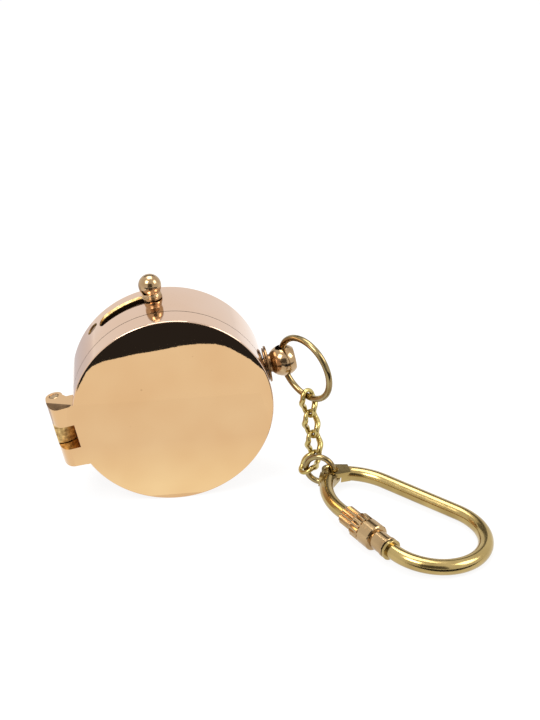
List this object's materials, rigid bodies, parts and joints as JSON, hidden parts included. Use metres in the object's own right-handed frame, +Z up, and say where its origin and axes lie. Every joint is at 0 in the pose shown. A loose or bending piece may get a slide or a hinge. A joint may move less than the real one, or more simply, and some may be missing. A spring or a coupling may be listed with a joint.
{
  "type": "keychain compass",
  "caption": "Round lidded pocket compass with a bow ring, a short twisted chain and a screw-gate shackle for keys",
  "frame": {"origin": "the middle of the flat on the case wall that the compass stands on", "axes": "+Z up, -Y out of the lid's face, +X towards the pendant, the chain and the shackle"},
  "size_m": [0.0949, 0.0589, 0.0506],
  "materials": {
    "polished_brass": "polished",
    "turned_brass": "fine turned",
    "yellow_brass": "bright",
    "white_dial": "satin",
    "blued_steel": "blued",
    "clear_glass": "clear"
  },
  "bodies": {
    "case": {"case": "turned_brass", "pivot_post": "polished_brass", "dial_plate": "white_dial", "degree_ring": "polished_brass", "glass": "clear_glass", "retaining_ring": "polished_brass", "guide_screw": "polished_brass", "pendant_washer": "polished_brass", "pendant_stud": "polished_brass"},
    "lid": {"lid": "polished_brass", "hinge_pin": "polished_brass"},
    "needle": {"needle": "blued_steel", "needle_cap": "polished_brass"},
    "lock": {"lock_arm": "polished_brass", "lever_knob": "polished_brass"},
    "lifter": {"needle_lifter": "polished_brass"},
    "bow": {"bow_ring": "polished_brass"},
    "link_1": {"chain_link_1": "yellow_brass"},
    "link_2": {"chain_link_2": "yellow_brass"},
    "link_3": {"chain_link_3": "yellow_brass"},
    "link_4": {"chain_link_4": "yellow_brass"},
    "jump": {"jump_ring": "yellow_brass"},
    "shackle": {"shackle_long_arm": "yellow_brass"},
    "gate": {"shackle_short_arm": "yellow_brass"},
    "sleeve": {"screw_sleeve": "yellow_brass"}
  },
  "joints": [
    {"name": "lid_hinge", "type": "hinge", "parent": "case", "child": "lid", "pos_m": [-0.025, -0.00605, 0.01771], "axis": [0.1874, 0, -0.9823], "range_deg": [0, 175]},
    {"name": "needle_turn", "type": "hinge", "parent": "case", "child": "needle", "pos_m": [0, -0.0046, 0.02248], "axis": [0, -1, 0], "continuous": true},
    {"name": "lock_turn", "type": "hinge", "parent": "case", "child": "lock", "pos_m": [0, 0.00085, 0.02248], "axis": [0, -1, 0], "range_deg": [0, 29]},
    {"name": "lifter_slide", "type": "slide", "parent": "case", "child": "lifter", "axis": [0, -1, 0], "range_m": [0, 0.0005]},
    {"name": "bow_swing", "type": "hinge", "parent": "case", "child": "bow", "pos_m": [0.02662, 0, 0.02756], "axis": [-0.1874, 0, 0.9823], "range_deg": [-25, 110]},
    {"name": "link_1_swing", "type": "hinge", "parent": "bow", "child": "link_1", "pos_m": [0.03131, -0.00483, 0.02035], "axis": [0.5747, -0.8144, -0.0811], "range_deg": [-30, 30]},
    {"name": "link_2_swing", "type": "hinge", "parent": "link_1", "child": "link_2", "pos_m": [0.03197, -0.00586, 0.01665], "axis": [0.8162, 0.5775, -0.0157], "range_deg": [-25, 25]},
    {"name": "link_3_swing", "type": "hinge", "parent": "link_2", "child": "link_3", "pos_m": [0.03254, -0.00681, 0.01158], "axis": [-0.8162, -0.5775, 0.0157], "range_deg": [-25, 25]},
    {"name": "link_4_swing", "type": "hinge", "parent": "link_3", "child": "link_4", "pos_m": [0.03325, -0.00797, 0.00538], "axis": [-0.567, 0.7955, -0.2138], "range_deg": [-15, 15]},
    {"name": "jump_swing", "type": "hinge", "parent": "link_4", "child": "jump", "pos_m": [0.03072, -0.01023, 0.00334], "axis": [-0.2113, 0.1049, 0.9718], "range_deg": [-10, 15]},
    {"name": "shackle_swing", "type": "hinge", "parent": "jump", "child": "shackle", "pos_m": [0.03604, -0.01302, 0.00345], "axis": [0.0535, -0.007, 0.9985], "range_deg": [-30, 40]},
    {"name": "gate_swing", "type": "hinge", "parent": "shackle", "child": "gate", "pos_m": [0.03604, -0.01302, 0.00345], "axis": [-0.0535, 0.007, -0.9985], "range_deg": [0, 35]},
    {"name": "sleeve_slide", "type": "slide", "parent": "gate", "child": "sleeve", "axis": [-0.4538, 0.8906, 0.0305], "range_m": [0, 0.002]}
  ],
  "couplings": [
    {"joint": "lifter_slide", "follows": "lock_turn", "m_per_rad": 0.000987}
  ]
}
